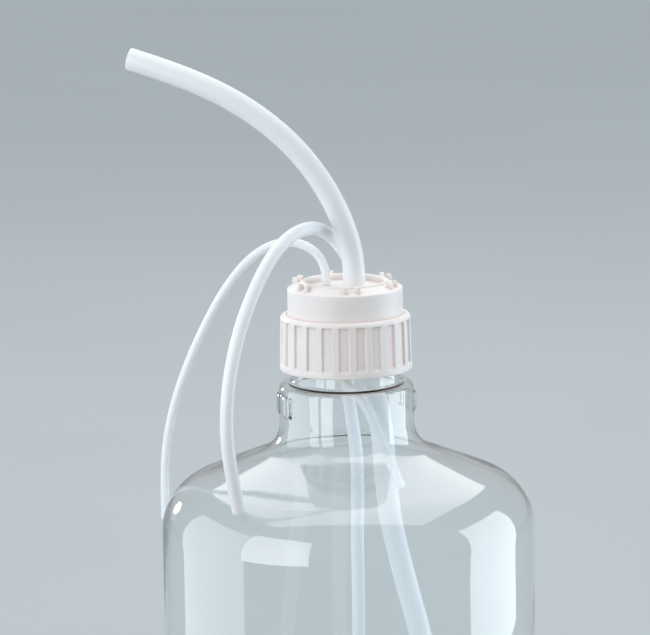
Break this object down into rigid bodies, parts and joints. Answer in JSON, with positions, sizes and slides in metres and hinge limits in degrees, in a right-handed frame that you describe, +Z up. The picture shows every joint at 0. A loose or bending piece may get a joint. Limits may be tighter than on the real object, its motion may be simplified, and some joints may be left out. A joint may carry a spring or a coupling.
{
  "type": "carboy with filling and venting closure",
  "caption": "Clear round-shouldered carboy with a white ribbed screw collar and a ported closure that carries flexible filling, sampling and venting tubes.",
  "frame": {"origin": "middle of the ring that the bottle stands on", "axes": "+Z up along the bottle's axis, -Y towards the front, +X to the right seen from the front"},
  "size_m": [0.2913, 0.271, 0.6873],
  "materials": {
    "clear_shell": "clear moulded polycarbonate, glossy",
    "white_closure": "satin white moulded polypropylene",
    "milky_tube": "milky translucent flexible tubing",
    "gasket": "soft pale silicone"
  },
  "bodies": {
    "bottle": {"bottle": "clear_shell"},
    "gasket": {"neck_gasket": "gasket"},
    "closure": {"port_insert": "white_closure", "fill_tube": "milky_tube", "sample_tube": "milky_tube", "vent_tube": "milky_tube", "fill_dip_tube": "milky_tube", "sample_dip_tube": "milky_tube", "vent_drop_tube": "milky_tube"},
    "collar": {"screw_collar": "white_closure"}
  },
  "joints": [
    {"name": "closure_lift_off", "type": "slide", "parent": "bottle", "child": "gasket", "axis": [0, 0, 1], "range_m": [0, 0.49], "deforming": ["fill_dip_tube", "vent_drop_tube"]},
    {"name": "closure_rise", "type": "slide", "parent": "gasket", "child": "closure", "axis": [0, 0, 1], "range_m": [0, 0.009]},
    {"name": "collar_turn", "type": "hinge", "parent": "closure", "child": "collar", "pos_m": [0, 0, 0.4743], "axis": [0, 0, 1], "range_deg": [0, 540]}
  ],
  "couplings": [
    {"joint": "closure_rise", "follows": "collar_turn", "m_per_rad": 0.000954}
  ]
}
